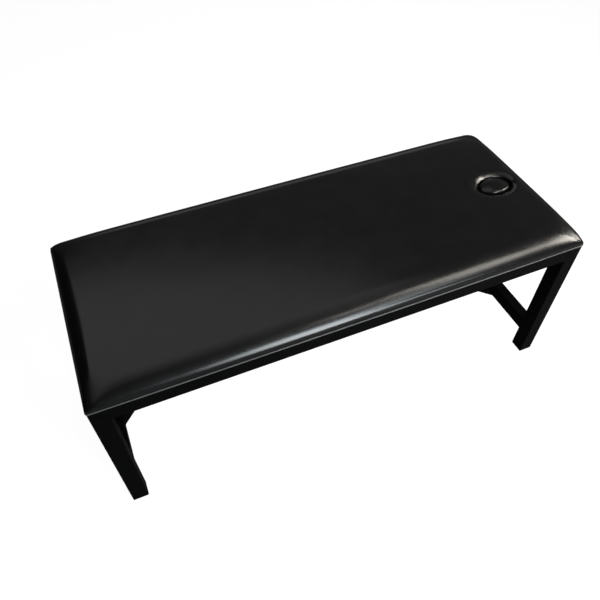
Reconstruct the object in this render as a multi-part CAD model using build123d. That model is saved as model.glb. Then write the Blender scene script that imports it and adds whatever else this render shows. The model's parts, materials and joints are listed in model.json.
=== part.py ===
from build123d import *
import os
from math import cos, hypot, radians, sin

# A padded massage bed on a welded, black, square-tube frame, with an oval face hole and its lift-out plug.
# Millimetres. The origin is on the floor at the middle of the footprint. +X runs along the bed to the head
# end, where the face hole is, +Y runs across it, and +Z is up.

# Overall sizes
pad_length = 1850
pad_width = 754
frame_top = 656
pad_overhang = 0.5

# Square and rectangular tubes of the frame
leg_side = 60
leg_wall = 2
rail_height = 65
rail_width = 40
rail_wall = 2
cross_rail_width = 40
cross_rail_height = 30
cross_rail_wall = 1.5
cross_rail_shares = (-0.27, 0.0, 0.27)
cross_rail_names = ("foot", "middle", "head")
stretcher_width = 50
stretcher_height = 60
stretcher_wall = 2
stretcher_bottom = 96
brace_width = 40
brace_wall = 2
brace_reach = 80
tube_corner = 4

# Plastic caps in the legs' lower ends
cap_flange = 5
cap_spigot_length = 24
cap_spigot_wall = 2
cap_spigot_gap = 1.2
cap_rib = 1.6
cap_rib_count = 2
cap_edge = 1

# Steel tabs under the board, and their screws
tab_length = 30
tab_reach = 28
tab_thickness = 4
tab_corner = 6
tab_hole = 6
long_tab_shares = (-0.42, -0.14, 0.14, 0.42)
short_tab_shares = (-0.28, 0.28)
screw_diameter = 5
screw_grip = 12
screw_head_diameter = 11
screw_head_height = 3
screw_head_bevel = 1.8
screw_tip_share = 0.75
screw_recess = 4
screw_recess_depth = 1.5

# Upholstered pad: board, foam and vinyl cover
cover_thickness = 1.2
board_thickness = 16
pad_thickness = 68.4
edge_round = 5
side_top = 13
shoulder_across = 73
shoulder_turn = 45
crown_angle = 1.5
plan_corner = 20
cover_margin = 32
hole_margin = 20

# Face hole and its plug
hole_from_head = 148
hole_length = 146
hole_width = 106
hole_end_round = 42
hole_rim_round = 34
plug_gap = 0.4
plug_sink = 5
plug_thickness = 48
plug_board_thickness = 9
plug_edge_round = 14
plug_dome = 8
plug_margin = 14

# Overrun of the cutting tools past the faces that they cut
overrun = 5

# Alignment of a cylinder that stands on its lower face
standing = (Align.CENTER, Align.CENTER, Align.MIN)

# Places worked out from the sizes above
frame_length = pad_length - 2 * pad_overhang
frame_width = pad_width - 2 * pad_overhang
leg_x = frame_length / 2 - leg_side / 2
leg_y = frame_width / 2 - leg_side / 2
stretcher_z = stretcher_bottom + stretcher_height / 2
rail_z = frame_top - rail_height / 2
pad_top = frame_top + pad_thickness
board_bottom = frame_top + cover_thickness
board_top = board_bottom + board_thickness
hole_x = pad_length / 2 - hole_from_head
plug_top = pad_top - plug_sink
plug_bottom = plug_top - plug_thickness


def tube_section(width, height, wall):
    """Face of a rectangular tube's section, with rounded corners inside and out."""
    outside = RectangleRounded(width, height, tube_corner)
    inside = RectangleRounded(width - 2 * wall, height - 2 * wall, tube_corner - wall)
    return outside - inside


def tube_along_x(length, width, height, wall, middle):
    """Tube that lies along X, width across Y and height up Z, about its middle point."""
    return Pos(*middle) * extrude(Plane.YZ * tube_section(width, height, wall), amount=length / 2, both=True)


def tube_along_y(length, width, height, wall, middle):
    """Tube that lies along Y, width across X and height up Z, about its middle point."""
    return Pos(*middle) * extrude(Plane.XZ * tube_section(width, height, wall), amount=length / 2, both=True)


def block(low, high):
    """Box between two corner points."""
    size = [b - a for a, b in zip(low, high)]
    middle = [(a + b) / 2 for a, b in zip(low, high)]
    return Pos(*middle) * Box(*size)


def slab(bottom, top):
    """Level slice of space between two heights, wider than the pad."""
    half_x = pad_length / 2 + overrun
    half_y = pad_width / 2 + overrun
    return block((-half_x, -half_y, bottom), (half_x, half_y, top))


def oval(length, width, end_round):
    """Oval face of four tangent arcs: end_round is the radius of its two ends, the long along X."""
    a = length / 2
    b = width / 2
    end_centre = a - end_round
    side_round = (end_centre**2 + b**2 - end_round**2) / (2 * (b - end_round))
    side_centre = side_round - b
    reach = end_round / hypot(end_centre, side_centre)
    tx = end_centre + reach * end_centre
    ty = reach * side_centre
    edges = [
        ThreePointArc((tx, ty), (0, b), (-tx, ty)),
        ThreePointArc((-tx, ty), (-a, 0), (-tx, -ty)),
        ThreePointArc((-tx, -ty), (0, -b), (tx, -ty)),
        ThreePointArc((tx, -ty), (a, 0), (tx, ty)),
    ]
    return make_face(edges)


def hole_oval(inset):
    """Face hole's oval in its place, drawn in all round by inset."""
    return Pos(hole_x, 0, 0) * oval(hole_length - 2 * inset, hole_width - 2 * inset, hole_end_round - inset)


def oval_block(inset, bottom, top):
    """Upright oval prism at the face hole, drawn in all round by inset."""
    return Pos(0, 0, bottom) * extrude(hole_oval(inset), amount=top - bottom)


def shoulder_radii(end_turn):
    """Radii of the pad's two shoulder arcs, which turn from upright to end_turn short of level."""
    turn_1 = radians(shoulder_turn)
    turn_2 = radians(90 - end_turn)
    half_crown = pad_width / 2 - shoulder_across
    rise = half_crown * (1 - cos(radians(end_turn))) / sin(radians(end_turn)) if end_turn else 0
    up = pad_thickness - side_top - rise
    a1, b1 = 1 - cos(turn_1), cos(turn_1) - cos(turn_2)
    a2, b2 = sin(turn_1), sin(turn_2) - sin(turn_1)
    determinant = a1 * b2 - b1 * a2
    return (shoulder_across * b2 - b1 * up) / determinant, (a1 * up - shoulder_across * a2) / determinant


def pad_section(half_span, inset, end_turn):
    """Section across the pad, drawn in by inset, with its height measured from the frame's top."""
    radius_1, radius_2 = shoulder_radii(end_turn)
    with BuildSketch() as section:
        with BuildLine():
            base = Line((0, inset), (half_span - edge_round, inset))
            tuck = JernArc(base @ 1, base % 1, edge_round - inset, 90)
            side = Line(tuck @ 1, (half_span - inset, side_top))
            shoulder = JernArc(side @ 1, side % 1, radius_1 - inset, shoulder_turn)
            slope = JernArc(shoulder @ 1, shoulder % 1, radius_2 - inset, 90 - end_turn - shoulder_turn)
            if end_turn:
                crown_radius = (half_span - shoulder_across) / sin(radians(end_turn))
                JernArc(slope @ 1, slope % 1, crown_radius - inset, end_turn)
            else:
                Line(slope @ 1, (0, (slope @ 1).Y))
            mirror(about=Plane.YZ)
        make_face()
    return section.sketch


def hole_rim(body):
    """Upper edges of the face hole in a pad body."""
    reach_x = hole_length / 2 + overrun
    reach_y = hole_width / 2 + overrun
    near = [e for e in body.edges() if abs(e.center().X - hole_x) < reach_x and abs(e.center().Y) < reach_y]
    return [e for e in near if min((e @ 0).Z, (e @ 1).Z) > board_top]


def pad_body(inset):
    """Upholstered pad as one solid, drawn in by inset on every side, with the face hole's rounded rim."""
    across = extrude(Plane.YZ * pad_section(pad_width / 2, inset, crown_angle), amount=pad_length, both=True)
    across = Pos(0, 0, frame_top) * across - oval_block(-inset, frame_top - overrun, pad_top + overrun)
    across = fillet(hole_rim(across), hole_rim_round - inset)
    along = extrude(Plane.XZ * pad_section(pad_length / 2, inset, 0), amount=pad_width, both=True)
    plan = RectangleRounded(pad_length - 2 * inset, pad_width - 2 * inset, plan_corner - inset)
    return across & (Pos(0, 0, frame_top) * along) & extrude(plan, amount=pad_top + overrun)


def plug_body(inset):
    """Face hole plug as one solid, drawn in by inset on every side, with its domed top and round edge."""
    body = oval_block(plug_gap + inset, plug_bottom + inset, plug_top)
    dome_radius = (hole_length**2 / 4 + plug_dome**2) / (2 * plug_dome)
    body &= Pos(hole_x, 0, plug_top - dome_radius) * Sphere(dome_radius - inset)
    lowest_rim = plug_top - plug_thickness / 2
    rim = [edge for edge in body.edges() if min((edge @ 0).Z, (edge @ 1).Z) > lowest_rim]
    return fillet(rim, plug_edge_round - inset)


def make_leg():
    """One upright leg tube, standing on its foot cap's flange."""
    return Pos(0, 0, cap_flange) * extrude(
        tube_section(leg_side, leg_side, leg_wall), amount=frame_top - cap_flange
    )


def make_foot_cap():
    """Plastic cap: a flange as wide as the leg and a ribbed hollow spigot up inside it."""
    bore = leg_side - 2 * leg_wall
    bore_corner = tube_corner - leg_wall
    spigot = bore - 2 * cap_spigot_gap
    flange = extrude(RectangleRounded(leg_side, leg_side, tube_corner), amount=cap_flange)
    flange = chamfer(flange.faces().sort_by(Axis.Z)[0].edges(), cap_edge)
    walls = extrude(RectangleRounded(spigot, spigot, bore_corner), amount=cap_flange + cap_spigot_length)
    hollow = Rectangle(spigot - 2 * cap_spigot_wall, spigot - 2 * cap_spigot_wall)
    cap = flange + walls - Pos(0, 0, cap_flange) * extrude(hollow, amount=cap_spigot_length + overrun)
    rib_ring = RectangleRounded(bore, bore, bore_corner) - Rectangle(
        spigot - cap_spigot_wall, spigot - cap_spigot_wall
    )
    rib_step = cap_spigot_length / (cap_rib_count + 1)
    for number in range(1, cap_rib_count + 1):
        cap += Pos(0, 0, cap_flange + number * rib_step) * extrude(rib_ring, amount=cap_rib)
    return cap


def make_brace():
    """Brace for the corner at the origin that opens to +X and +Y: a tube across it, cut at 45 degrees."""
    length = 2 * brace_reach
    from_corner = (brace_reach * cos(radians(45))) - brace_width / 2
    tube = tube_along_y(length, brace_width, stretcher_height, brace_wall, (from_corner, 0, 0))
    tube = Rot(0, 0, 45) * tube
    corner = block((0, 0, -stretcher_height), (length, length, stretcher_height))
    return Pos(0, 0, stretcher_z) * (tube & corner)


def tab_places():
    """Places of the tabs: x, y and the turn that points each tab's reach away from its rail."""
    y = frame_width / 2 - rail_width
    x = frame_length / 2 - rail_width
    places = []
    for share in long_tab_shares:
        places.append((share * frame_length, -y, 0))
        places.append((share * frame_length, y, 180))
    for share in short_tab_shares:
        places.append((-x, share * frame_width, -90))
        places.append((x, share * frame_width, 90))
    return places


def make_tab():
    """One tab, welded at its edge on y = 0 and reaching to +Y, its top face level with the frame's top."""
    plate = Pos(0, tab_reach / 2, 0) * Rectangle(tab_length, tab_reach)
    free_corners = plate.vertices().sort_by(Axis.Y)[2:]
    plate = fillet(free_corners, tab_corner) - Pos(0, tab_reach / 2, 0) * Circle(tab_hole / 2)
    return Pos(0, 0, frame_top - tab_thickness) * extrude(plate, amount=tab_thickness)


def make_screw():
    """One pan head wood screw, pointing up from below its tab, on the tab hole's axis."""
    head_top = frame_top - tab_thickness
    rim = screw_head_diameter / 2
    head = Pos(0, 0, head_top - screw_head_height) * Cylinder(rim, screw_head_height, align=standing)
    head = chamfer(head.edges().sort_by(Axis.Z)[0], screw_head_bevel)
    shank_length = tab_thickness + cover_thickness + screw_grip
    radius = screw_diameter / 2
    shank = Pos(0, 0, head_top) * Cylinder(radius, shank_length, align=standing)
    shank = chamfer(shank.edges().sort_by(Axis.Z)[-1], radius * screw_tip_share)
    recess = Pos(0, 0, head_top - screw_head_height) * extrude(
        RegularPolygon(screw_recess / 2, 6), amount=screw_recess_depth
    )
    return Pos(0, tab_reach / 2, 0) * (head + shank - recess)


def at_tabs(piece):
    """Copies of a piece made for the tab at the origin, one at each tab."""
    return [Pos(x, y, 0) * Rot(0, 0, turn) * piece for x, y, turn in tab_places()]


def make_board(pad):
    """Plywood board with its pilot holes for the tab screws."""
    board = pad & slab(board_bottom, board_top)
    pilot = Pos(0, tab_reach / 2, board_bottom - overrun) * Cylinder(
        screw_diameter / 2, overrun + screw_grip, align=standing
    )
    for tool in at_tabs(pilot):
        board -= tool
    return board


def make_cover(outside, inside, window, bottom):
    """Skin between two bodies, with a window cut through its underside at the height bottom."""
    return outside - inside - Pos(0, 0, bottom - overrun) * extrude(window, amount=overrun + cover_thickness)


def mirrored(piece, x_sign, y_sign):
    """Copy of a piece made for +X and +Y, in the quarter that the signs name."""
    copy = piece if x_sign > 0 else mirror(piece, about=Plane.YZ)
    return copy if y_sign > 0 else mirror(copy, about=Plane.XZ)


def build_frame():
    """Nodes of the welded frame and its foot caps."""
    nodes = {}
    leg = make_leg()
    cap = make_foot_cap()
    brace = make_brace()
    for end, x_sign in (("left", -1), ("right", 1)):
        for side, y_sign in (("front", -1), ("back", 1)):
            nodes[f"leg_{side}_{end}"] = Pos(x_sign * leg_x, y_sign * leg_y, 0) * leg
            nodes[f"foot_cap_{side}_{end}"] = Pos(x_sign * leg_x, y_sign * leg_y, 0) * cap
            inner_x = frame_length / 2 - stretcher_width
            corner = Pos(-inner_x, stretcher_width / 2, 0) * brace
            nodes[f"brace_{side}_{end}"] = mirrored(corner, -x_sign, y_sign)
    long_rail = frame_length - 2 * leg_side
    short_rail = frame_width - 2 * leg_side
    for side, sign in (("front", -1), ("back", 1)):
        middle = (0, sign * (frame_width - rail_width) / 2, rail_z)
        nodes[f"rail_{side}"] = tube_along_x(long_rail, rail_width, rail_height, rail_wall, middle)
    for end, sign in (("left", -1), ("right", 1)):
        middle = (sign * (frame_length - rail_width) / 2, 0, rail_z)
        nodes[f"rail_{end}"] = tube_along_y(short_rail, rail_width, rail_height, rail_wall, middle)
        middle = (sign * (frame_length - stretcher_width) / 2, 0, stretcher_z)
        nodes[f"stretcher_{end}"] = tube_along_y(
            short_rail, stretcher_width, stretcher_height, stretcher_wall, middle
        )
    centre_length = frame_length - 2 * stretcher_width
    nodes["stretcher_centre"] = tube_along_x(
        centre_length, stretcher_width, stretcher_height, stretcher_wall, (0, 0, stretcher_z)
    )
    for name, share in zip(cross_rail_names, cross_rail_shares):
        middle = (share * frame_length, 0, frame_top - cross_rail_height / 2)
        nodes[f"cross_rail_{name}"] = tube_along_y(
            frame_width - 2 * rail_width, cross_rail_width, cross_rail_height, cross_rail_wall, middle
        )
    nodes["board_tabs"] = Compound(children=at_tabs(make_tab()))
    nodes["board_screws"] = Compound(children=at_tabs(make_screw()))
    return nodes


def build_pad():
    """Nodes of the pad: board, foam and vinyl cover."""
    outside = pad_body(0)
    inside = pad_body(cover_thickness)
    window = Rectangle(pad_length - 2 * cover_margin, pad_width - 2 * cover_margin) - hole_oval(-hole_margin)
    return {
        "top_board": make_board(inside),
        "pad_foam": inside & slab(board_top, pad_top),
        "pad_cover": make_cover(outside, inside, window, frame_top),
    }


def build_plug():
    """Nodes of the face hole plug: disc, foam and vinyl cover."""
    outside = plug_body(0)
    inside = plug_body(cover_thickness)
    disc_bottom = plug_bottom + cover_thickness
    disc_top = disc_bottom + plug_board_thickness
    return {
        "plug_disc": inside & slab(disc_bottom, disc_top),
        "plug_foam": inside & slab(disc_top, plug_top),
        "plug_cover": make_cover(outside, inside, hole_oval(plug_gap + plug_margin), plug_bottom),
    }


def main():
    """Build every node and write each to its own STEP file."""
    os.makedirs("parts", exist_ok=True)
    nodes = {**build_frame(), **build_pad(), **build_plug()}
    for name, shape in nodes.items():
        export_step(shape, f"parts/{name}.step")


main()
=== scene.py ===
"""Looks of a padded massage bed: its vinyl skins, paint, plywood, welds and staples, round the fixed frame.

Every length is in metres in the bed's own frame: +X to the head end, +Y across, +Z up, the floor at 0.
"""

from __future__ import annotations

import json
import logging
import math
from dataclasses import dataclass, field
from enum import Enum
from functools import partial
from typing import Callable, Iterable

import bmesh
import bpy
from bmesh.types import BMEdge, BMesh, BMFace, BMVert
from mathutils import Matrix, Vector, noise

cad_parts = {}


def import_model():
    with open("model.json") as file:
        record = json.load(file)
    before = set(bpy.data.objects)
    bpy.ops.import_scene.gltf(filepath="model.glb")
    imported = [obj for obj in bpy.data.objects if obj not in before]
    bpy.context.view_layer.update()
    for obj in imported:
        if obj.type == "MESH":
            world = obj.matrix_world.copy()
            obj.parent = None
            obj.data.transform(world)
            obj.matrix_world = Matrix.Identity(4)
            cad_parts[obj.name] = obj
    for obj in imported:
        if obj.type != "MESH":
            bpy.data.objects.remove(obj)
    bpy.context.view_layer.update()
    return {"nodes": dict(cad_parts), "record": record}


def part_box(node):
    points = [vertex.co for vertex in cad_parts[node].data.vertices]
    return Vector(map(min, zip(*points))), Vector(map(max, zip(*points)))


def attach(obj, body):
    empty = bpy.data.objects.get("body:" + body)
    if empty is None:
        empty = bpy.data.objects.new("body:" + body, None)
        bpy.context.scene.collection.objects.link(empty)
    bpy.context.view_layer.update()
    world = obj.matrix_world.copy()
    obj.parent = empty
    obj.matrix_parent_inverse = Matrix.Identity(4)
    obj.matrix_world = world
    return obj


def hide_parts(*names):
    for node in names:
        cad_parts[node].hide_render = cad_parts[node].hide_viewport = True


LOG = logging.getLogger("massage_bed")
MM = 0.001
PLUG_GAP = 0.4 * MM
HOLE_ROUND = 42 * MM
STAPLE_DROP = 0.1 * MM
QUARTER = math.pi / 2
WHITE = (1.0, 1.0, 1.0, 1.0)
Triple = tuple[float, float, float]
Line = tuple[Vector, Vector]
Socket = bpy.types.NodeSocket


class Slot(Enum):
    """Material slots of the record that the pieces take their finishes from."""

    PAINT = "frame_paint"
    ZINC = "zinc_screw"
    CAP = "cap_plastic"
    PLYWOOD = "plywood"
    FOAM = "foam"
    VINYL = "vinyl"


class Body(Enum):
    """Bodies of the bed that the pieces ride on."""

    FRAME = "frame"
    PLUG = "face_plug"


class Graph:
    """A node tree, with short ways to add nodes to it and to join them."""

    def __init__(self, tree: bpy.types.NodeTree) -> None:
        """Keep the tree that the nodes go into."""
        self.tree = tree

    def add(self, kind: str, values: dict | None = None, **settings: object) -> bpy.types.Node:
        """Add one node.

        Args:
            kind: Type name of the node.
            values: For input sockets, by name or number, the number to set or the socket to link.
            settings: Properties of the node to set.

        Returns:
            The new node.
        """
        node = self.tree.nodes.new(kind)
        for name, value in settings.items():
            setattr(node, name, value)
        for name, value in (values or {}).items():
            if isinstance(value, Socket):
                self.tree.links.new(value, node.inputs[name])
            else:
                node.inputs[name].default_value = value
        return node

    def calculate(self, operation: str, first: Socket | float, second: Socket | float = 0.0) -> Socket:
        """Do a sum with two sockets or numbers, and return the result's socket."""
        return self.add("ShaderNodeMath", {0: first, 1: second}, operation=operation).outputs[0]

    def spread(self, source: Socket, low: float, high: float) -> Socket:
        """Map a mask from 0 to 1 on to the range from low to high, and return the result's socket."""
        values = {"Value": source, "To Min": low, "To Max": high}
        return self.add("ShaderNodeMapRange", values).outputs["Result"]

    def blend(self, mask: Socket, first: Triple, second: Triple) -> Socket:
        """Mix two colours by a mask, and return the colour's socket."""
        values = {0: mask, 6: (*first, 1.0), 7: (*second, 1.0)}
        return self.add("ShaderNodeMix", values, data_type="RGBA").outputs[2]

    def ramp(self, source: Socket, start: float, end: float, kind: str = "LINEAR") -> Socket:
        """Map a value to a step from 0 at start to 1 at end, and return the result's socket."""
        values = {"Value": source, "From Min": start, "From Max": end}
        return self.add("ShaderNodeMapRange", values, interpolation_type=kind).outputs["Result"]

    def end(self, kind: str, surface: Socket) -> None:
        """Add the output node of a kind, for a surface."""
        self.add(kind, {"Surface": surface})


def new_material(name: str) -> tuple[bpy.types.Material, Graph]:
    """Make an empty material, and return it with its nodes."""
    material = bpy.data.materials.new(name)
    material.use_nodes = True
    material.node_tree.nodes.clear()
    return material, Graph(material.node_tree)


@dataclass(frozen=True)
class SharedEffect:
    """A node group that several finishes use: a pattern whose features are about as wide as its pitch."""

    name: str
    fill: Callable[[Graph, Socket, Socket], Socket]

    def tree(self) -> bpy.types.NodeTree:
        """Return the node group, built the first time that it is asked for."""
        known = bpy.data.node_groups.get(self.name)
        if known:
            return known
        tree = bpy.data.node_groups.new(self.name, "ShaderNodeTree")
        tree.interface.new_socket("Place", in_out="INPUT", socket_type="NodeSocketVector")
        tree.interface.new_socket("Pitch", in_out="INPUT", socket_type="NodeSocketFloat")
        tree.interface.new_socket("Value", in_out="OUTPUT", socket_type="NodeSocketFloat")
        graph = Graph(tree)
        place, pitch = graph.add("NodeGroupInput").outputs[:2]
        graph.add("NodeGroupOutput", {"Value": self.fill(graph, place, pitch)})
        return tree

    def place(self, graph: Graph, at: Socket, pitch: float) -> Socket:
        """Add the effect to a material.

        Args:
            graph: The material's nodes.
            at: Socket of the coordinates, in metres.
            pitch: Width of the effect's features.

        Returns:
            The effect's output socket.
        """
        values = {"Place": at, "Pitch": pitch}
        return graph.add("ShaderNodeGroup", values, node_tree=self.tree()).outputs["Value"]


def fill_grain(graph: Graph, place: Socket, pitch: Socket) -> Socket:
    """Fill a group with a pebbled grain: rounded cells, bent out of line a little, with valleys between.

    Args:
        graph: The group's nodes.
        place: Socket of the coordinates.
        pitch: Socket of the cells' width.

    Returns:
        Socket of the grain's height.
    """
    scale = graph.calculate("DIVIDE", 1.0, pitch)
    coarse = graph.calculate("MULTIPLY", scale, 0.35)
    bend = graph.add("ShaderNodeTexNoise", {"Vector": place, "Scale": coarse, "Detail": 1.0})
    cells = graph.add("ShaderNodeTexVoronoi", {"Vector": place, "Scale": scale}, feature="DISTANCE_TO_EDGE")
    rounded = graph.calculate("SQRT", cells.outputs["Distance"])
    return graph.calculate("MULTIPLY", rounded, graph.spread(bend.outputs["Fac"], 0.6, 1.4))


def fill_mottle(graph: Graph, place: Socket, pitch: Socket) -> Socket:
    """Fill a group with a soft uneven cloud.

    Args:
        graph: The group's nodes.
        place: Socket of the coordinates.
        pitch: Socket of the cloud's width.

    Returns:
        Socket of the cloud's value, from 0 to 1.
    """
    scale = graph.calculate("DIVIDE", 1.0, pitch)
    values = {"Vector": place, "Scale": scale, "Detail": 4.0, "Roughness": 0.55}
    return graph.ramp(graph.add("ShaderNodeTexNoise", values).outputs["Fac"], 0.3, 0.7)


GRAIN = SharedEffect("pebbled_grain", fill_grain)
MOTTLE = SharedEffect("soft_mottle", fill_mottle)


@dataclass(frozen=True)
class Finish:
    """A surface finish: two close colours and two roughnesses that a cloud mixes, and its relief.

    Its grain and its ripple are each a pitch and a depth, with a pitch of 0 for none.
    """

    name: str
    dark: Triple
    light: Triple
    rough: tuple[float, float]
    cloud_pitch: float
    specular: float = 0.5
    metallic: float = 0.0
    grain: tuple[float, float] = (0.0, 0.0)
    ripple: tuple[float, float] = (0.0, 0.0)

    def relief(self, graph: Graph, at: Socket) -> dict[str, Socket]:
        """Add the finish's bumps.

        Args:
            graph: The material's nodes.
            at: Socket of the coordinates, in metres.

        Returns:
            The bumped normal's socket by the input's name, or nothing for a plain surface.
        """
        found = {}
        for effect, (pitch, depth) in ((MOTTLE, self.ripple), (GRAIN, self.grain)):
            if pitch:
                height = effect.place(graph, at, pitch)
                values = {"Strength": 1.0, "Distance": depth, "Height": height, **found}
                found = {"Normal": graph.add("ShaderNodeBump", values).outputs["Normal"]}
        return found

    def colour(self, graph: Graph, at: Socket, cloud: Socket) -> Socket:
        """Add the finish's colour and return its socket."""
        return graph.blend(cloud, self.dark, self.light)

    def material(self) -> bpy.types.Material:
        """Return the finish's material, built the first time that it is asked for."""
        known = bpy.data.materials.get(self.name)
        if known:
            return known
        material, graph = new_material(self.name)
        at = graph.add("ShaderNodeTexCoord").outputs["Object"]
        cloud = MOTTLE.place(graph, at, self.cloud_pitch)
        values = {
            "Base Color": self.colour(graph, at, cloud),
            "Metallic": self.metallic,
            "Roughness": graph.spread(cloud, *self.rough),
            "Specular IOR Level": self.specular,
            **self.relief(graph, at),
        }
        shader = graph.add("ShaderNodeBsdfPrincipled", values)
        graph.end("ShaderNodeOutputMaterial", shader.outputs["BSDF"])
        return material


@dataclass(frozen=True)
class WoodFinish(Finish):
    """Bare plywood face: a grain of fine fibres that runs along the bed."""

    fibre_pitch: float = 5 * MM
    fibre_length: float = 220 * MM

    def colour(self, graph: Graph, at: Socket, cloud: Socket) -> Socket:
        """Add the wood's colour, darker along its fibres.

        Args:
            graph: The material's nodes.
            at: Socket of the coordinates, in metres.
            cloud: Socket of the finish's cloud.

        Returns:
            The colour's socket.
        """
        stretch = (1.0 / self.fibre_length, 1.0 / self.fibre_pitch, 1.0 / self.fibre_pitch)
        mapping = graph.add("ShaderNodeMapping", {"Vector": at, "Scale": stretch}, vector_type="POINT")
        values = {"Vector": mapping.outputs["Vector"], "Scale": 1.0, "Detail": 6.0, "Roughness": 0.6}
        lines = graph.spread(graph.add("ShaderNodeTexNoise", values).outputs["Fac"], -0.6, 1.6)
        both = graph.calculate("MULTIPLY", graph.calculate("ADD", lines, cloud), 0.5)
        return graph.blend(both, self.dark, self.light)


# Lighter grey vinyl for the welt at the pad's lower edge: its pale colour is a painted highlight, standing in
# for the thin bright line along that edge.
EDGE_HIGHLIGHT_VINYL = Finish(
    "vinyl_edge_painted_highlight", dark=(0.05, 0.052, 0.054), light=(0.085, 0.087, 0.088), rough=(0.42, 0.58),
    cloud_pitch=30 * MM, grain=(1.2 * MM, 0.05 * MM),
)
FINISHES = {
    Slot.VINYL: Finish(
        "black_grained_vinyl", dark=(0.0028, 0.0028, 0.003), light=(0.0042, 0.0042, 0.0044),
        rough=(0.2, 0.25), cloud_pitch=90 * MM, grain=(1.7 * MM, 0.04 * MM),
        ripple=(55 * MM, 0.05 * MM),
    ),
    Slot.PAINT: Finish(
        "black_powder_coat", dark=(0.0007, 0.0007, 0.0008), light=(0.0013, 0.0013, 0.0014),
        rough=(0.42, 0.54), cloud_pitch=45 * MM, specular=0.05, grain=(1.2 * MM, 0.025 * MM),
        ripple=(5 * MM, 0.02 * MM),
    ),
    Slot.CAP: Finish(
        "black_moulded_cap", dark=(0.007, 0.007, 0.007), light=(0.012, 0.012, 0.012), rough=(0.5, 0.65),
        cloud_pitch=9 * MM, specular=0.3, grain=(0.6 * MM, 0.03 * MM),
    ),
    Slot.ZINC: Finish(
        "zinc_plated_steel", dark=(0.42, 0.42, 0.4), light=(0.62, 0.61, 0.56), rough=(0.28, 0.45),
        cloud_pitch=4 * MM, metallic=1.0,
    ),
    Slot.PLYWOOD: WoodFinish(
        "bare_birch_plywood", dark=(0.33, 0.2, 0.1), light=(0.56, 0.4, 0.23), rough=(0.62, 0.8),
        cloud_pitch=130 * MM, specular=0.3, grain=(3 * MM, 0.04 * MM),
    ),
    Slot.FOAM: Finish(
        "open_cell_foam", dark=(0.55, 0.5, 0.36), light=(0.72, 0.68, 0.52), rough=(0.9, 1.0),
        cloud_pitch=20 * MM, specular=0.1, grain=(1 * MM, 0.3 * MM),
    ),
}


def wear(piece: bpy.types.Object, finish: Finish) -> None:
    """Give a piece a finish, in place of any that it has."""
    piece.data.materials.clear()
    piece.data.materials.append(finish.material())


def new_object(bm: BMesh, name: str) -> bpy.types.Object:
    """Turn a bmesh into an object of the scene.

    Args:
        bm: The shape, which is freed.
        name: Name of the object.

    Returns:
        The new object.
    """
    mesh = bpy.data.meshes.new(name)
    bm.to_mesh(mesh)
    bm.free()
    thing = bpy.data.objects.new(name, mesh)
    bpy.context.scene.collection.objects.link(thing)
    return thing


def place_key(part: BMEdge | BMFace) -> tuple[float, ...]:
    """Return what an edge or a face is put in order by: the sum of its vertices' places."""
    return tuple(sum((vert.co for vert in part.verts), Vector()))


def finish_mesh(bm: BMesh, name: str, body: Body, slot: Slot, smooth: bool = True) -> bpy.types.Object:
    """Turn a bmesh into a piece of the bed, with its faces in an order that is the same in each run.

    Args:
        bm: The shape, which is freed.
        name: Name of the piece.
        body: Body that it rides on.
        slot: Slot of its finish.
        smooth: Whether its faces are shaded smooth.

    Returns:
        The new object.
    """
    bmesh.ops.recalc_face_normals(bm, faces=bm.faces)
    for parts in (bm.edges, bm.faces):
        for index, part in enumerate(sorted(parts, key=place_key)):
            part.index = index
        parts.sort()
    for face in bm.faces:
        face.smooth = smooth
    piece = new_object(bm, name)
    wear(piece, FINISHES[slot])
    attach(piece, body.value)
    mesh = piece.data
    LOG.info("%s: %d vertices, %d faces, on %s", name, len(mesh.vertices), len(mesh.polygons), body.value)
    return piece


def draw_rings(bm: BMesh, ring: list[BMEdge], homes: dict, rules: Iterable[Callable]) -> list[BMEdge]:
    """Extrude a closed loop of edges ring after ring.

    Args:
        bm: The mesh that holds the loop.
        ring: Edges of the loop.
        homes: What each vertex of the loop, and each one drawn from it, gets its place by.
        rules: For each new ring, the rule that turns a home into a place.

    Returns:
        The last ring's edges.
    """
    for rule in rules:
        made = bmesh.ops.extrude_edge_only(bm, edges=ring)["geom"]
        new = {part for part in made if isinstance(part, BMVert)}
        ring = [part for part in made if isinstance(part, BMEdge) and all(v in new for v in part.verts)]
        passed = {}
        for vert in new:
            old = next(e.other_vert(vert) for e in vert.link_edges if e.other_vert(vert) in homes)
            passed[vert] = homes[old]
            vert.co = rule(homes[old])
        homes = passed
    return ring


def waves(angle: float, count: float, seed: float) -> float:
    """Return the height, from about -1 to 1, of uneven waves round a loop, with a count of them to a turn."""
    radius = count / 4
    return noise.noise(Vector((radius * math.cos(angle), radius * math.sin(angle), seed))) * 1.6


def gathers(angle: float) -> float:
    """Return the height, from -1 to 1, of the folds bunched on the near side of the face hole."""
    off = math.degrees(angle) + 68
    return math.cos(off * 0.62) * math.exp(-((off / 15) ** 2))


def square_angle(u: float, v: float) -> float:
    """Find the direction that a place on a square grid takes when the grid is made round.

    Args:
        u, v: The place along and across the grid, from its middle.

    Returns:
        The direction from the middle, with each side of the square spread evenly over a quarter turn.
    """
    if not u and not v:
        return 0.0
    if abs(u) >= abs(v):
        return math.pi / 4 * v / u + (math.pi if u < 0 else 0.0)
    return QUARTER - math.pi / 4 * u / v + (math.pi if v < 0 else 0.0)


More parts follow.
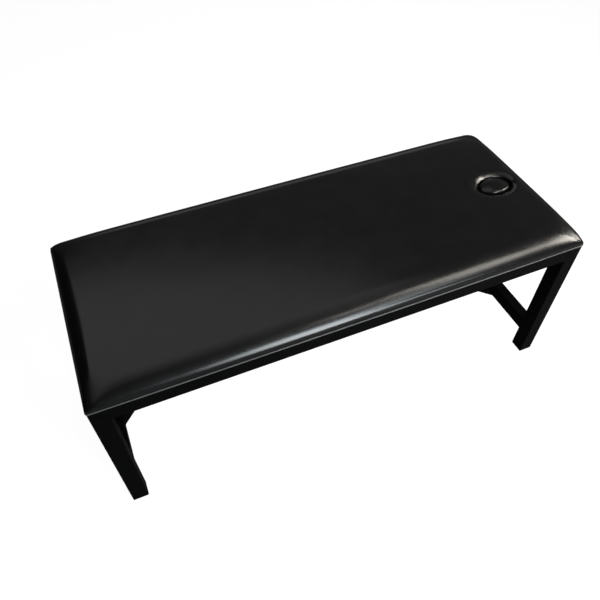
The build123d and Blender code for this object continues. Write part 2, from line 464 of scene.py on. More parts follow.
@dataclass
class Shoulder:
    """Section of the pad, from its side plane up over the shoulder and on to its middle."""

    half_span: float
    thickness: float
    side_top: float
    across: float
    turn: float
    end_turn: float
    lower: float = field(init=False)
    upper: float = field(init=False)
    crown: float = field(init=False)

    def __post_init__(self) -> None:
        """Work out the two arcs that leave the side upright and meet the crown, which ends level."""
        turn_2 = QUARTER - self.end_turn
        middle = self.half_span - self.across
        self.crown = middle / math.sin(self.end_turn) if self.end_turn else 0.0
        rise = self.crown * (1 - math.cos(self.end_turn))
        up = self.thickness - self.side_top - rise
        a1, b1 = 1 - math.cos(self.turn), math.cos(self.turn) - math.cos(turn_2)
        a2, b2 = math.sin(self.turn), math.sin(turn_2) - math.sin(self.turn)
        determinant = a1 * b2 - b1 * a2
        self.lower = (self.across * b2 - b1 * up) / determinant
        self.upper = (a1 * up - self.across * a2) / determinant

    def centre(self) -> tuple[float, float]:
        """Return the upper arc's centre: how far in from the side plane it is, and its height."""
        slack = self.lower - self.upper
        return self.lower - slack * math.cos(self.turn), self.side_top + slack * math.sin(self.turn)

    def height(self, inset: float) -> float:
        """Find how high the skin is.

        Args:
            inset: Distance in from the side plane.

        Returns:
            The height above the frame's top.
        """
        if inset < self.lower * (1 - math.cos(self.turn)):
            return self.side_top + math.sqrt(max(self.lower**2 - (self.lower - inset) ** 2, 0.0))
        if inset < self.across:
            x, z = self.centre()
            return z + math.sqrt(self.upper**2 - (x - inset) ** 2)
        if not self.end_turn:
            return self.thickness
        return self.thickness - self.crown + math.sqrt(self.crown**2 - (self.half_span - inset) ** 2)

    def inset_of(self, height: float) -> float:
        """Find where the skin reaches a height.

        Args:
            height: The height above the frame's top.

        Returns:
            The distance in from the side plane.
        """
        rise = max(height - self.side_top, 0.0)
        if rise < self.lower * math.sin(self.turn):
            return self.lower - math.sqrt(self.lower**2 - rise**2)
        x, z = self.centre()
        if height <= z + self.upper * math.cos(self.end_turn):
            return x - math.sqrt(max(self.upper**2 - (height - z) ** 2, 0.0))
        if not self.end_turn:
            return self.across
        drop = self.crown - (self.thickness - height)
        return self.half_span - math.sqrt(max(self.crown**2 - drop**2, 0.0))

    def inset_at(self, turn: float) -> float:
        """Return how far in from the side plane the skin has turned that much from upright."""
        if turn <= self.turn:
            return self.lower * (1 - math.cos(turn))
        return self.centre()[0] - self.upper * math.cos(turn)

    def stations(self, step: float, cell: float) -> list[float]:
        """List places across the whole span, from one side plane to the other.

        Args:
            step: Turn of the skin from one place to the next, on the shoulders.
            cell: Distance from one place to the next, between them.

        Returns:
            Places along the span, with 0 at its middle.
        """
        last = QUARTER - self.end_turn
        count = round(last / step)
        insets = [self.inset_at(last * i / count) for i in range(count)]
        middle = self.half_span - self.across
        cells = round(2 * middle / cell)
        between = [-middle + 2 * middle * i / cells for i in range(cells + 1)]
        left = [inset - self.half_span for inset in insets]
        return left + between + [-place for place in reversed(left)]


@dataclass
class Oval:
    """Oval of four tangent arcs, long along X, as the face hole and its plug have."""

    x: float
    half_length: float
    half_width: float
    end_round: float

    def edge(self, angle: float) -> tuple[Vector, Vector]:
        """Find where a ray from the oval's centre meets it.

        Args:
            angle: Direction of the ray from +X.

        Returns:
            The point and the oval's outward direction there, both in plan.
        """
        cos, sin = abs(math.cos(angle)), abs(math.sin(angle))
        end = self.half_length - self.end_round
        squares = end**2 + self.half_width**2 - self.end_round**2
        side_radius = squares / (2 * (self.half_width - self.end_round))
        drop = side_radius - self.half_width
        reach = end * cos + math.sqrt(max(self.end_round**2 - (end * sin) ** 2, 0.0))
        point = Vector((reach * cos, reach * sin, 0))
        centre = Vector((end, 0, 0))
        if (point - centre).y * end > (point - centre).x * drop:
            reach = -drop * sin + math.sqrt(side_radius**2 - (drop * cos) ** 2)
            point = Vector((reach * cos, reach * sin, 0))
            centre = Vector((0, -drop, 0))
        out = (point - centre).normalized()
        signs = Vector((math.copysign(1, math.cos(angle)), math.copysign(1, math.sin(angle)), 1))
        point, out = point * signs, out * signs
        return point + Vector((self.x, 0, 0)), out

    def inside(self, angle: float, inset: float) -> Vector:
        """Return the point on the ray's normal, drawn in from the oval by inset."""
        point, out = self.edge(angle)
        return point - out * inset


@dataclass
class Pad:
    """The bed's upholstered top, as one closed form of vinyl over foam, folded under the board's edge."""

    low: Vector
    high: Vector
    hole: Oval
    name: str = "pad_upholstery"
    side_top: float = 13 * MM
    across: float = 73 * MM
    turn: float = math.radians(45)
    crown_turn: float = math.radians(1.5)
    corner: float = 8 * MM
    top_corner: float = 76 * MM
    sharp_corner: float = 4 * MM
    level_rounds: int = 24
    bow: float = 2.5 * MM
    droop: float = 12 * MM
    droop_reach: float = 115 * MM
    cell: float = 12 * MM
    step: float = math.radians(5)
    rim_round: float = 46 * MM
    rim_tight: float = 3 * MM
    rim_uneven: float = 9 * MM
    rim_lean: float = math.radians(46)
    rim_steps: int = 12
    window_margin: float = 8 * MM
    margin: float = 32 * MM
    hole_margin: float = 20 * MM
    closing: float = 4 * MM
    pleat_start: float = 5 * MM
    pleat_reach: float = 45 * MM
    folds: tuple[int, ...] = (20, 46, 72)
    fold_width: float = 6.5
    valleys: tuple[int, ...] = (33, 59)
    valley_width: float = 5.0
    thickness: float = field(init=False)
    across_section: Shoulder = field(init=False)
    along_section: Shoulder = field(init=False)

    def __post_init__(self) -> None:
        """Work out the pad's thickness and two sections."""
        self.thickness = self.high.z - self.low.z
        shared = (self.thickness, self.side_top, self.across, self.turn)
        self.across_section = Shoulder(self.high.y, *shared, self.crown_turn)
        self.along_section = Shoulder(self.high.x, *shared, 0.0)

    def past_corner(self, x: float, y: float, z: float) -> tuple[float, float, float]:
        """Set a place against the round of the nearest corner of the pad's outline at its height.

        Args:
            x, y: The place in plan.
            z: Its height above the frame's top.

        Returns:
            How far it lies past the round's centre along X and along Y, and the round's radius.
        """
        share = max(z - self.side_top, 0.0) / (self.thickness - self.side_top)
        half_x = self.high.x - self.along_section.inset_of(z)
        half_y = self.high.y - self.across_section.inset_of(z)
        rounding = min(self.corner + (self.top_corner - self.corner) * share**0.8, half_x, half_y)
        return abs(x) - half_x + rounding, abs(y) - half_y + rounding, rounding

    def beyond(self, x: float, y: float, z: float) -> float:
        """Return how far a place is outside the pad's outline at its height, or negative if inside."""
        out_x, out_y, rounding = self.past_corner(x, y, z)
        return math.hypot(max(out_x, 0.0), max(out_y, 0.0)) + min(max(out_x, out_y), 0.0) - rounding

    def height(self, x: float, y: float) -> float:
        """Find the skin's height, which is that of the outline that passes through the place.

        Args:
            x, y: The place in plan.

        Returns:
            The height in the bed's frame.
        """
        low, high = self.side_top, self.thickness
        for _ in range(self.level_rounds):
            middle = (low + high) / 2
            if self.beyond(x, y, middle) > 0:
                high = middle
            else:
                low = middle
        drop = self.corner_drop(x, y) * (low - self.side_top) / (self.thickness - self.side_top)
        return self.low.z + low - drop + self.swell(x, y)

    def corner_drop(self, x: float, y: float) -> float:
        """Return how far the nearest corner, which is folded, pulls the top down at a place in plan."""
        away = math.hypot(self.high.x - abs(x), self.high.y - abs(y))
        return self.droop * math.exp(-((away / self.droop_reach) ** 2))

    def swell(self, x: float, y: float) -> float:
        """Return the small unevenness of the foam under the vinyl."""
        edge = min(self.high.x - abs(x), self.high.y - abs(y)) / (40 * MM)
        fade = min(max(edge, 0.0), 1.0)
        long_wave = noise.noise(Vector((x * 3.5, y * 5.0, 3.1))) * 0.7 * MM
        short_wave = noise.noise(Vector((x * 15.0, y * 19.0, 7.7))) * 0.12 * MM
        return (long_wave + short_wave) * fade

    def grid(self, bm: BMesh) -> None:
        """Make the top: a grid with finer cells on the shoulders, its corners drawn in to their round."""
        xs = self.along_section.stations(self.step, self.cell)
        ys = self.across_section.stations(self.step, self.cell)
        columns, rows = len(xs) - 1, len(ys) - 1
        bmesh.ops.create_grid(bm, x_segments=columns, y_segments=rows, size=1.0)
        for vert in bm.verts:
            x = xs[round((vert.co.x + 1) / 2 * columns)]
            y = ys[round((vert.co.y + 1) / 2 * rows)]
            x, y = self.round_corner(x, y)
            vert.co = (x, y, self.height(x, y))

    def round_corner(self, x: float, y: float) -> tuple[float, float]:
        """Move a place in plan so that the square corner becomes a quarter circle.

        Args:
            x, y: The place in plan.

        Returns:
            The place that it moves to.
        """
        a = (abs(x) - self.high.x) / self.corner + 1
        b = (abs(y) - self.high.y) / self.corner + 1
        if a <= 0 or b <= 0:
            return x, y
        angle = square_angle(a, b)
        reach = max(a, b) * self.corner
        new_x = self.high.x - self.corner + reach * math.cos(angle)
        new_y = self.high.y - self.corner + reach * math.sin(angle)
        return math.copysign(new_x, x), math.copysign(new_y, y)

    def outline(self, vert: BMVert) -> tuple[Vector, Vector]:
        """Find what a vertex of the side gets its place by.

        Args:
            vert: The vertex, on the top's edge.

        Returns:
            Its place on the inner rectangle, and its direction out of that, both in plan.
        """
        reach_x = self.high.x - self.corner
        reach_y = self.high.y - self.corner
        x = min(max(vert.co.x, -reach_x), reach_x)
        y = min(max(vert.co.y, -reach_y), reach_y)
        out = Vector((vert.co.x - x, vert.co.y - y, 0))
        return Vector((x, y, 0)), out.normalized()

    def side_point(self, inset: float, z: float, home: tuple[Vector, Vector]) -> Vector:
        """Return a point of the side, bead or margin.

        Args:
            inset: How far it is in from the side plane, or out if negative.
            z: Its height above the frame's top.
            home: Its place on the inner rectangle, and its direction out of that.

        Returns:
            The point.
        """
        base, out = home
        corner = max(self.corner - inset, self.sharp_corner)
        shrink_x = (self.high.x - inset - corner) / (self.high.x - self.corner)
        shrink_y = (self.high.y - inset - corner) / (self.high.y - self.corner)
        point = Vector((base.x * shrink_x, base.y * shrink_y, 0)) + out * corner
        return Vector((point.x, point.y, self.low.z + z))

    def skirt_profile(self) -> list[tuple[float, float]]:
        """List the side's section: how far in from the side plane, and how high above the frame's top."""
        under = 0.3 * MM
        profile = [(0.1 * MM, 10.8 * MM), (0.35 * MM, 9.2 * MM), (0.7 * MM, 7.6 * MM), (0.9 * MM, 6.0 * MM)]
        profile += [(0.9 * MM, 3.4 * MM), (0.9 * MM, 1.2 * MM), (2.0 * MM, under)]
        profile += [(8 * MM, under), (self.margin / 2, under), (self.margin, under)]
        profile += [(self.margin + 0.6 * MM, 1.1 * MM), (self.margin + MM, self.closing)]
        return profile

    def skirt(self, bm: BMesh) -> list[BMEdge]:
        """Make the sides, the bead and the margin under the board, and return the last ring."""
        ring = [edge for edge in bm.edges if edge.is_boundary]
        homes = {vert: self.outline(vert) for edge in ring for vert in edge.verts}
        rules = [partial(self.side_point, *point) for point in self.skirt_profile()]
        return draw_rings(bm, ring, homes, rules)

    def open_window(self, bm: BMesh) -> list[BMEdge]:
        """Cut the grid away round the face hole.

        Args:
            bm: The mesh that holds the top.

        Returns:
            The edges of the window that this leaves.
        """
        reach_x = self.hole.half_length + self.rim_round + self.window_margin
        reach_y = self.hole.half_width + self.rim_round + self.window_margin
        floor = self.low.z + self.side_top

        def within(vert: BMVert) -> bool:
            """Return whether a vertex of the top lies in the window."""
            return abs(vert.co.x - self.hole.x) < reach_x and abs(vert.co.y) < reach_y and vert.co.z > floor

        inside = [face for face in bm.faces if all(within(vert) for vert in face.verts)]
        before = {edge for edge in bm.edges if edge.is_boundary}
        bmesh.ops.delete(bm, geom=inside, context="FACES")
        return [edge for edge in bm.edges if edge.is_boundary and edge not in before]

    def rim_section(self, angle: float, lean: float) -> tuple[float, float]:
        """Return how far outside the hole and how deep the rim is, where it leans by an angle.

        Args:
            angle: The direction from the hole's middle.
            lean: The skin's lean at that place, 0 where level and a quarter turn where upright.

        Returns:
            The distance outside the hole and the depth.
        """
        steep = self.rim_lean
        wide = self.rim_round - self.rim_uneven * (1 + math.cos(angle))
        fall = (wide - self.rim_tight) / steep
        if lean < steep:
            return wide - fall * lean, -fall * math.log(math.cos(lean))
        radius = self.rim_tight / (1 - math.sin(steep))
        deep = -fall * math.log(math.cos(steep)) + radius * (math.cos(steep) - math.cos(lean))
        return radius * (1 - math.sin(lean)), deep

    def rim_point(self, sweep: float, home: tuple[float, Vector]) -> Vector:
        """Return a point of the face hole's rim.

        Args:
            sweep: The rim's lean there, 0 where level and a quarter turn where upright.
            home: Direction from the hole's middle, and place on the window's edge.

        Returns:
            The point.
        """
        angle = home[0]
        out, deep = self.rim_section(angle, sweep)
        point = self.hole.inside(angle, -out)
        fade = math.sin(sweep) ** 2
        pucker = (waves(angle, 44, 2.0) * 0.45 * MM + gathers(angle) * 0.9 * MM) * fade * (1.2 - fade)
        z = self.height(point.x, point.y) - deep + pucker
        return Vector((point.x, point.y, z))

    def blended_point(self, share: float, home: tuple[float, Vector]) -> Vector:
        """Return a point of the top, a share of the way from the window's edge to the rim."""
        point = home[1].lerp(self.rim_point(0.0, home), share)
        point.z = self.height(point.x, point.y)
        return point

    def wall_point(self, share: float, home: tuple[float, Vector]) -> Vector:
        """Return a point of the hole's upright wall, a share of the way down it."""
        point = self.rim_point(QUARTER, home)
        point.z += (self.low.z + MM - point.z) * share
        return point

    def under_point(self, out: float, up: float, home: tuple[float, Vector]) -> Vector:
        """Return a point of the margin turned under the board, so far out of the hole and so high."""
        point = self.hole.inside(home[0], -out)
        return Vector((point.x, point.y, self.low.z + up))

    def rim(self, bm: BMesh, window: list[BMEdge]) -> list[BMEdge]:
        """Make the face hole's rim, wall and margin.

        Args:
            bm: The mesh that holds the top.
            window: Edges of the window that they hang from.

        Returns:
            Edges of the last ring.
        """
        homes = {}
        for vert in {v for edge in window for v in edge.verts}:
            homes[vert] = (math.atan2(vert.co.y, vert.co.x - self.hole.x), vert.co.copy())
        turned = [(1 * MM, 0.3 * MM), (3 * MM, 0.0), (10 * MM, 0.0), (self.hole_margin, 0.0)]
        turned += [(self.hole_margin + 0.5 * MM, 1.2 * MM), (self.hole_margin + MM, self.closing)]
        rules = [partial(self.blended_point, share) for share in (0.35, 0.7)]
        sweeps = [QUARTER * step / self.rim_steps for step in range(self.rim_steps + 1)]
        rules += [partial(self.rim_point, sweep) for sweep in sweeps]
        rules += [partial(self.wall_point, share) for share in (0.25, 0.5, 0.75, 0.92)]
        rules += [partial(self.under_point, *point) for point in turned]
        return draw_rings(bm, window, homes, rules)

    def settle(self, bm: BMesh) -> None:
        """Bow the sides a little and gather the vinyl in pleats at the lower corners."""
        for vert in bm.verts:
            x, y, z = vert.co
            fold = self.pleat(x, y, z - self.low.z)
            if fold:
                reach = Vector((abs(x) - self.high.x + self.corner, abs(y) - self.high.y + self.corner, 0))
                out = reach.normalized() * fold
                vert.co += Vector((math.copysign(out.x, x), math.copysign(out.y, y), 0))
            vert.co = self.bowed(vert.co)

    def bowed(self, point: Vector) -> Vector:
        """Return a point moved out with the bow of the pad's long sides."""
        along = min(abs(point.x) / self.high.x, 1.0)
        across = min(abs(point.y) / self.high.y, 1.0)
        out = self.bow * (1 - along**2) * across**2
        return point + Vector((0, math.copysign(out, point.y), 0))

    def pleat(self, x: float, y: float, z: float) -> float:
        """Find how far a corner's folds move a point of the skin.

        Args:
            x, y: The point's place in plan.
            z: Its height above the frame's top.

        Returns:
            The distance out, negative in a valley between two folds.
        """
        a, b, _ = self.past_corner(x, y, z)
        rise = z - self.pleat_start
        if a <= 0 or b <= 0 or rise < 0 or rise > self.pleat_reach:
            return 0.0
        angle = math.degrees(math.atan2(b, a))
        fade = min(1.0, rise / self.pleat_start) * (1 - rise / self.pleat_reach) ** 1.5
        out = sum(math.exp(-(((angle - at) / self.fold_width) ** 2)) for at in self.folds)
        back = sum(math.exp(-(((angle - at) / self.valley_width) ** 2)) for at in self.valleys)
        return (0.9 * out - back) * MM * fade

    def build(self) -> bpy.types.Object:
        """Build the pad and return its object."""
        bm = bmesh.new()
        self.grid(bm)
        outer = self.skirt(bm)
        inner = self.rim(bm, self.open_window(bm))
        self.settle(bm)
        bmesh.ops.triangle_fill(bm, use_beauty=True, edges=outer + inner)
        bmesh.ops.remove_doubles(bm, verts=bm.verts, dist=0.02 * MM)
        piece = finish_mesh(bm, self.name, Body.FRAME, Slot.VINYL)
        smooth = piece.modifiers.new("smooth", "SUBSURF")
        smooth.levels = smooth.render_levels = 1
        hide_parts("pad_cover", "pad_foam")
        return piece


@dataclass
class Welt:
    """Piping of vinyl round the pad's lower edge, set in its groove, in a lighter grey that is a painted
    highlight along that edge.
    """

    pad: Pad
    name: str = "pad_edge_welt"
    radius: float = 2.4 * MM
    inset: float = -0.7 * MM
    height: float = 2.9 * MM
    sides: int = 10
    cell: float = 24 * MM
    corner_steps: int = 7

    def stations(self) -> list[tuple[Vector, Vector]]:
        """List the path's places on the pad's inner rectangle, each with its direction out of it."""
        reach_x = self.pad.high.x - self.pad.corner
        reach_y = self.pad.high.y - self.pad.corner
        corners = [Vector((x * reach_x, y * reach_y, 0)) for x, y in ((1, 1), (-1, 1), (-1, -1), (1, -1))]
        found = []
        for number, corner in enumerate(corners):
            turns = [QUARTER * (number + step / self.corner_steps) for step in range(self.corner_steps + 1)]
            outs = [Vector((math.cos(turn), math.sin(turn), 0)) for turn in turns]
            found += [(corner, out) for out in outs[:-1]]
            after = corners[(number + 1) % 4]
            cells = round((after - corner).length / self.cell)
            found += [(corner.lerp(after, cell / cells), outs[-1]) for cell in range(cells)]
        return found

    def build(self) -> bpy.types.Object:
        """Build the welt and return its object."""
        stations = self.stations()
        count = len(stations)
        bm = bmesh.new()
        bmesh.ops.create_grid(bm, x_segments=count, y_segments=self.sides, size=1.0)
        for vert in bm.verts:
            home = stations[round((vert.co.x + 1) / 2 * count) % count]
            turn = math.tau * (round((vert.co.y + 1) / 2 * self.sides) % self.sides) / self.sides
            inset = self.inset - self.radius * math.cos(turn)
            height = self.height + self.radius * math.sin(turn)
            vert.co = self.pad.bowed(self.pad.side_point(inset, height, home))
        bmesh.ops.remove_doubles(bm, verts=bm.verts, dist=0.01 * MM)
        piece = finish_mesh(bm, self.name, Body.FRAME, Slot.VINYL)
        # The welt takes the lighter grey vinyl, a painted highlight along the pad's lower edge.
        wear(piece, EDGE_HIGHLIGHT_VINYL)
        return piece


@dataclass
class Plug:
    """The face hole's padded plug: vinyl over foam on a plywood disc, as one closed form."""

    low: Vector
    high: Vector
    oval: Oval
    name: str = "plug_upholstery"
    edge_round: float = 8 * MM
    dome: float = 22 * MM
    proud: float = 3.5 * MM
    slack: float = 7 * MM
    margin: float = 14 * MM
    closing: float = 4 * MM
    edge_share: float = 0.3
    cells_long: int = 44
    cells_wide: int = 36

    def top_point(self, angle: float, reach: float) -> Vector:
        """Return a point of the plug's domed top.

        Args:
            angle: Its direction from the middle.
            reach: 0 at the middle, 1 where the side starts.

        Returns:
            The point.
        """
        flat = 1 - self.edge_share
        sweep = QUARTER * max(0.0, reach - flat) / self.edge_share
        rim = self.oval.inside(angle, self.slack + self.edge_round * (1 - math.sin(sweep)))
        middle = Vector((self.oval.x, 0, 0))
        point = rim if reach >= flat else middle.lerp(rim, reach / flat)
        from_middle = (point - middle).length / self.oval.half_length
        z = self.high.z + self.proud - self.dome * from_middle**2 - self.edge_round * (1 - math.cos(sweep))
        pucker = waves(angle, 64, 5.0) * 0.7 + gathers(angle) * 1.3
        fade = math.sin(sweep) ** 2 * (1 - 0.6 * math.sin(sweep) ** 6)
        z += noise.noise(point * 30.0) * 0.35 * MM + pucker * fade * MM
        return Vector((point.x, point.y, z))

    def side_point(self, inset: float, z: float, angle: float) -> Vector:
        """Return a point of the side, so far in from the oval and so high, in a direction from the middle."""
        point = self.oval.inside(angle, inset)
        return Vector((point.x, point.y, self.low.z + z))

    def skirt_points(self) -> list[tuple[float, float]]:
        """List the side's section: how far in from the oval, and how high above the plug's lowest face."""
        wall = self.high.z + self.proud - self.low.z - self.dome - self.edge_round
        profile = [(self.slack * 0.55, wall * 0.75), (self.slack * 0.1, wall * 0.45), (0.3 * MM, 2.2 * MM)]
        profile += [(1.0 * MM, 0.7 * MM), (2.6 * MM, 0.0), (self.margin / 2, 0.0), (self.margin, 0.0)]
        profile += [(self.margin + 0.5 * MM, 1.2 * MM), (self.margin + MM, self.closing)]
        return profile

    def build(self) -> bpy.types.Object:
        """Build the plug and return its object."""
        bm = bmesh.new()
        bmesh.ops.create_grid(bm, x_segments=self.cells_long, y_segments=self.cells_wide, size=1.0)
        angles = {}
        for vert in bm.verts:
            u, v = vert.co.xy
            reach = max(abs(u), abs(v))
            angles[vert] = square_angle(u, v)
            vert.co = self.top_point(angles[vert], reach)
        ring = [edge for edge in bm.edges if edge.is_boundary]
        rules = [partial(self.side_point, *point) for point in self.skirt_points()]
        ring = draw_rings(bm, ring, angles, rules)
        bmesh.ops.triangle_fill(bm, use_beauty=True, edges=ring)
        piece = finish_mesh(bm, self.name, Body.PLUG, Slot.VINYL)
        smooth = piece.modifiers.new("smooth", "SUBSURF")
        smooth.levels = smooth.render_levels = 1
        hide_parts("plug_cover", "plug_foam")
        return piece


@dataclass
class Staples:
    """Wire staples that hold a turned-under margin of vinyl round the face hole."""

    oval: Oval
    body: Body
    name: str
    z: float
    out: float
    count: int
    crown: float = 10 * MM
    wire_width: float = 1.3 * MM
    wire_height: float = 0.6 * MM

    def build(self) -> bpy.types.Object:
        """Build the ring of staples and return its object."""
        bm = bmesh.new()
        for number in range(self.count):
            angle = math.tau * (number + 0.5) / self.count
            point, out = self.oval.edge(angle)
            point = point + out * self.out
            turn = math.atan2(out.y, out.x) + QUARTER + noise.noise(Vector((number * 1.7, self.z, 0))) * 0.35
            size = Matrix.Diagonal((self.crown, self.wire_width, self.wire_height, 1))
            place = Matrix.Translation((point.x, point.y, self.z)) @ Matrix.Rotation(turn, 4, "Z") @ size
            bmesh.ops.create_cube(bm, size=1.0, matrix=place)
        shape = {"offset": 0.22 * MM, "offset_type": "OFFSET", "segments": 1, "profile": 0.5}
        bmesh.ops.bevel(bm, geom=list(bm.edges), affect="EDGES", material=-1, **shape)
        return finish_mesh(bm, self.name, self.body, Slot.ZINC, smooth=False)


@dataclass
class Welds:
    """Rippled weld beads in the corners where the frame's tubes meet."""

    radius: float = 2.6 * MM
    ripple: float = 2.4 * MM
    sides: int = 7
    inset: float = 4 * MM
    name: str = "frame_weld_beads"

    def bead(self, bm: BMesh, start: Vector, end: Vector) -> None:
        """Add one bead, a chain of round swells.

        Args:
            bm: The mesh that it goes into.
            start: Where it starts.
            end: Where it ends.
        """
        line = end - start
        count = 2 * max(2, round(line.length / self.ripple))
        place = Matrix.Translation(start) @ line.to_track_quat("Z", "Y").to_matrix().to_4x4()
        shape = {"segments": self.sides, "radius": self.radius * 0.5, "matrix": place}
        made = bmesh.ops.create_circle(bm, cap_ends=True, **shape)["verts"]
        ring = [edge for edge in bm.edges if edge.verts[0] in made]
        spokes = {vert: (vert.co - start).normalized() for vert in made}
        rules = []
        for number in range(1, count + 1):
            middle = start + line * (number / count)
            swell = 0.5 if number == count else 1.0 if number % 2 else 0.8
            swell *= 1 + 0.18 * noise.noise(middle * 300.0)
            rules.append(partial(self.spoke_end, middle, self.radius * swell))
        bmesh.ops.contextual_create(bm, geom=draw_rings(bm, ring, spokes, rules))

    def spoke_end(self, middle: Vector, reach: float, spoke: Vector) -> Vector:
        """Return the point of a bead at a reach from its middle line, along a spoke."""
        return middle + spoke * reach

    def box_lines(self, node: str, axis: int, faces: Iterable[tuple[int, int]]) -> list[Line]:
        """List the weld lines at both ends of a tube.

        Args:
            node: Name of the tube.
            axis: 0 if the tube runs along X, 1 if along Y.
            faces: Faces of the tube with a bead, as an axis number and -1 or 1.

        Returns:
            The lines' two ends.
        """
        low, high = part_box(node)
        corners = (low, high)
        lines = []
        for end in corners:
            for face_axis, sign in faces:
                other = 3 - axis - face_axis
                start, stop = Vector(), Vector()
                for point, side, shift in ((start, low, self.inset), (stop, high, -self.inset)):
                    point[axis] = end[axis]
                    point[face_axis] = corners[(sign + 1) // 2][face_axis]
                    point[other] = side[other] + shift
                lines.append((start, stop))
        return lines

    def lines(self) -> list[Line]:
        """List every weld line of the frame."""
        found = []
        under, over = (2, -1), (2, 1)
        for node, axis, inward in (("front", 0, 1), ("back", 0, -1), ("left", 1, 1), ("right", 1, -1)):
            found += self.box_lines(f"rail_{node}", axis, (under, (1 - axis, inward)))
        for node, axis in (("left", 1), ("right", 1), ("centre", 0)):
            found += self.box_lines(f"stretcher_{node}", axis, (under, over))
        for node in ("foot", "middle", "head"):
            found += self.box_lines(f"cross_rail_{node}", 1, (under, (0, -1), (0, 1)))
        for side in ("front", "back"):
            found += self.brace_lines(f"brace_{side}_left", 1) + self.brace_lines(f"brace_{side}_right", -1)
        return found

    def brace_lines(self, node: str, toward: int) -> list[Line]:
        """List a brace's upright weld lines, one on the end stretcher and one on the centre stretcher.

        Args:
            node: Name of the brace.
            toward: 1 if it leads from the left end stretcher, -1 if from the right one.

        Returns:
            The lines' two ends.
        """
        low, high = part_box(node)
        near_x, far_x = (low.x, high.x) if toward > 0 else (high.x, low.x)
        near_y, far_y = (low.y, high.y) if low.y > 0 else (high.y, low.y)
        bottom, top = low.z + self.inset, high.z - self.inset
        return [(Vector((x, y, bottom)), Vector((x, y, top))) for x, y in ((near_x, far_y), (far_x, near_y))]

    def build(self) -> bpy.types.Object:
        """Build all the beads and return their object."""
        bm = bmesh.new()
        for start, end in self.lines():
            self.bead(bm, start, end)
        return finish_mesh(bm, self.name, Body.FRAME, Slot.PAINT)


@dataclass
class Carcass:
    """The pieces of the bed whose shapes are right as they are: tubes, tabs, caps, screws and boards."""

    record: dict
    nodes: dict

    def dress(self) -> None:
        """Give every kept piece the finish of its own slot."""
        for part in self.record["subparts"]:
            if part["node"] in self.nodes:
                wear(self.nodes[part["node"]], FINISHES[Slot(part["material_slot"])])
        LOG.info("carcass: %d pieces dressed", len(self.nodes))


@dataclass(frozen=True)
class Lamp:
    """A rectangular studio lamp that faces a point of the bed."""

    name: str
    place: Triple
    width: float
    height: float
    watts: float
    colour: Triple
    aim: Triple = (0.2, -0.36, 0.7)

    def build(self) -> None:
        """Add the lamp to the scene."""
        light = bpy.data.lights.new(self.name, "AREA")
        light.shape = "RECTANGLE"
        light.size = self.width
        light.size_y = self.height
        light.energy = self.watts
        light.color = self.colour
        lamp = bpy.data.objects.new(self.name, light)
        turn = (Vector(self.aim) - Vector(self.place)).to_track_quat("-Z", "Y").to_matrix().to_4x4()
        lamp.matrix_world = Matrix.Translation(self.place) @ turn
        bpy.context.scene.collection.objects.link(lamp)


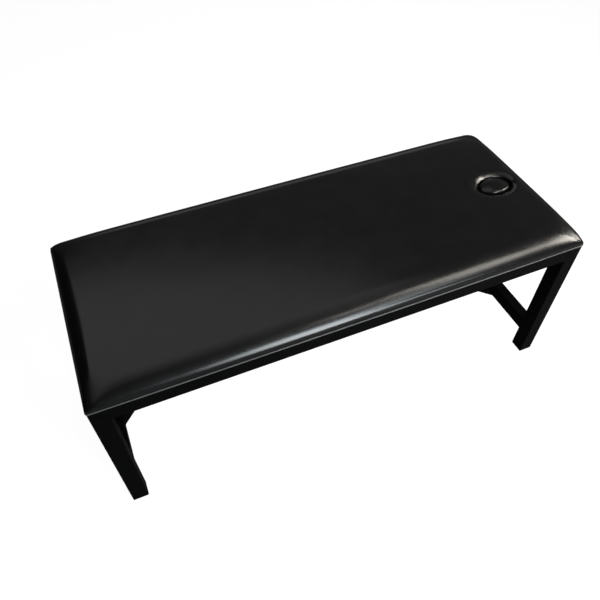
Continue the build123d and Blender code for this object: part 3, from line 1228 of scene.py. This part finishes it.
@dataclass
class Studio:
    """Pale floor, soft lamps, plain surroundings and the camera at the photograph's angle."""

    floor_size: float = 60.0
    floor_albedo: float = 0.15
    floor_glow: float = 0.95
    walls: float = 0.1
    dark_walls: float = 0.012
    wall_ramp: tuple[float, float] = (-0.6, 0.2)
    panel_height: float = 2.72
    panel_ramp: tuple[float, float] = (-1.7, 0.5)
    panel_outline: tuple[tuple[float, float], ...] = (
        *((1.2, -1.7), (1.2, -0.5), (1.1, 0.6), (0.9, 1.26)),
        *((0.12, 1.8), (-0.5, 2.14), (-2.2, 2.6), (-2.2, -1.7)),
    )
    panel_glow: float = 0.64
    image_side: float = 600.0
    focal_pixels: float = 582.172
    sensor: float = 36.0
    azimuth: float = -0.40289
    elevation: float = 0.86902
    roll: float = 0.002312
    target: Triple = (-0.07889, -0.00996, 0.4)
    distance: float = 2.35452

    def background_rays(self, graph: Graph) -> Socket:
        """Return a mask of the rays that show the background: camera and transmission rays."""
        rays = graph.add("ShaderNodeLightPath").outputs
        return graph.calculate("MAXIMUM", rays["Is Camera Ray"], rays["Is Transmission Ray"])

    def glow(self, graph: Graph, strength: Socket) -> Socket:
        """Add a white emission of some strength, and return its socket."""
        return graph.add("ShaderNodeEmission", {"Color": WHITE, "Strength": strength}).outputs[0]

    def floor(self) -> None:
        """Add the pale floor, which shows white and keeps a faint shadow of the bed."""
        bm = bmesh.new()
        bmesh.ops.create_grid(bm, x_segments=1, y_segments=1, size=self.floor_size / 2)
        floor = new_object(bm, "studio_floor")
        material, graph = new_material("pale_floor")
        plain = graph.add("ShaderNodeBsdfDiffuse", {"Color": (*(self.floor_albedo,) * 3, 1.0)})
        light = self.glow(graph, graph.calculate("MULTIPLY", self.background_rays(graph), self.floor_glow))
        both = graph.add("ShaderNodeAddShader", {0: plain.outputs[0], 1: light})
        graph.end("ShaderNodeOutputMaterial", both.outputs[0])
        floor.data.materials.append(material)

    def surroundings(self) -> None:
        """Make the world white to the camera, and a dim room to everything else."""
        world = bpy.data.worlds.new("studio")
        bpy.context.scene.world = world
        world.use_nodes = True
        world.node_tree.nodes.clear()
        graph = Graph(world.node_tree)
        way = graph.add("ShaderNodeSeparateXYZ", {0: graph.add("ShaderNodeTexCoord").outputs["Generated"]})
        lit = graph.ramp(way.outputs["X"], *self.wall_ramp, "SMOOTHSTEP")
        strength = graph.calculate("ADD", graph.calculate("MULTIPLY", lit, self.walls), self.dark_walls)
        dim = graph.add("ShaderNodeBackground", {"Color": WHITE, "Strength": strength}).outputs[0]
        white = graph.add("ShaderNodeBackground", {"Color": WHITE, "Strength": 1.0}).outputs[0]
        mix = graph.add("ShaderNodeMixShader", {0: self.background_rays(graph), 1: dim, 2: white})
        graph.end("ShaderNodeOutputWorld", mix.outputs[0])

    def ceiling_panel(self) -> None:
        """Add the lit ceiling panel, dimmer towards its front, that only the bed's surfaces see."""
        bm = bmesh.new()
        bm.faces.new([bm.verts.new((x, y, self.panel_height)) for x, y in self.panel_outline])
        panel = new_object(bm, "ceiling_panel")
        material, graph = new_material("panel_light")
        place = graph.add("ShaderNodeSeparateXYZ", {0: graph.add("ShaderNodeTexCoord").outputs["Object"]})
        front = graph.ramp(place.outputs["Y"], *self.panel_ramp, "SMOOTHSTEP")
        light = self.glow(graph, graph.calculate("MULTIPLY", front, self.panel_glow))
        graph.end("ShaderNodeOutputMaterial", light)
        panel.data.materials.append(material)
        panel.visible_camera = False
        panel.visible_shadow = False

    def camera(self) -> None:
        """Add the camera where the photograph was taken from."""
        turn = Matrix.Rotation(self.azimuth, 4, "Z") @ Matrix.Rotation(QUARTER - self.elevation, 4, "X")
        back = Matrix.Rotation(self.roll, 4, "Z") @ Matrix.Translation((0, 0, self.distance))
        data = bpy.data.cameras.new("photograph_view")
        data.sensor_width = self.sensor
        data.lens = self.focal_pixels / self.image_side * self.sensor
        data.clip_end = 200.0
        camera = bpy.data.objects.new("photograph_view", data)
        camera.matrix_world = Matrix.Translation(self.target) @ turn @ back
        bpy.context.scene.collection.objects.link(camera)
        bpy.context.scene.camera = camera

    def build(self) -> None:
        """Build the whole studio."""
        self.camera()
        self.floor()
        self.surroundings()
        self.ceiling_panel()
        cool, warm = (0.9, 0.97, 1.0), (1.0, 0.95, 0.86)
        lamps = (
            Lamp("cool_doorway", (0.72, -3.45, 1.45), 0.95, 2.6, 118, cool, (0.1, -0.37, 0.9)),
            Lamp("doorway_left", (0.0, -3.45, 1.2), 0.5, 1.7, 18, cool, (0.1, -0.37, 0.8)),
            Lamp("doorway_sill", (1.6, -3.35, 0.9), 0.8, 0.45, 10, cool),
            Lamp("doorway_wall", (1.42, -2.75, 2.43), 0.94, 0.9, 8.7, cool),
            Lamp("window_high", (1.01, -1.57, 2.85), 0.81, 0.45, 17.5, warm),
            Lamp("window_middle", (2.01, -1.72, 2.66), 0.94, 0.84, 18, warm),
            Lamp("window_low", (2.94, -0.99, 2.22), 1.17, 0.56, 46, warm),
            Lamp("window_end", (3.27, -0.31, 1.57), 0.65, 0.65, 12, warm),
            Lamp("back_strip", (1.2, 4.2, 1.9), 4.5, 0.9, 6, WHITE[:3], (0.3, 0.3, 0.7)),
        )
        for lamp in lamps:
            lamp.build()
        bpy.context.scene.view_settings.view_transform = "Standard"
        LOG.info("studio: %d lamps", len(lamps))


def main() -> None:
    """Build the bed's looks, one sub-assembly after another."""
    logging.basicConfig(level=logging.INFO, format="%(name)s: %(message)s")
    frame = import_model()
    Carcass(frame["record"], frame["nodes"]).dress()
    plug_low, plug_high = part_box("plug_cover")
    middle, half = (plug_low.x + plug_high.x) / 2, (plug_high - plug_low) / 2
    disc = Oval(middle, half.x, half.y, HOLE_ROUND - PLUG_GAP)
    hole = Oval(middle, half.x + PLUG_GAP, half.y + PLUG_GAP, HOLE_ROUND)
    pad = Pad(*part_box("pad_cover"), hole)
    pad.build()
    Welt(pad).build()
    Plug(plug_low, plug_high, disc).build()
    Welds().build()
    Staples(hole, Body.FRAME, "hole_margin_staples", pad.low.z - STAPLE_DROP, out=12 * MM, count=18).build()
    Staples(disc, Body.PLUG, "plug_margin_staples", plug_low.z - STAPLE_DROP, out=-9 * MM, count=14).build()
    Studio().build()


if __name__ == "__main__":
    main()
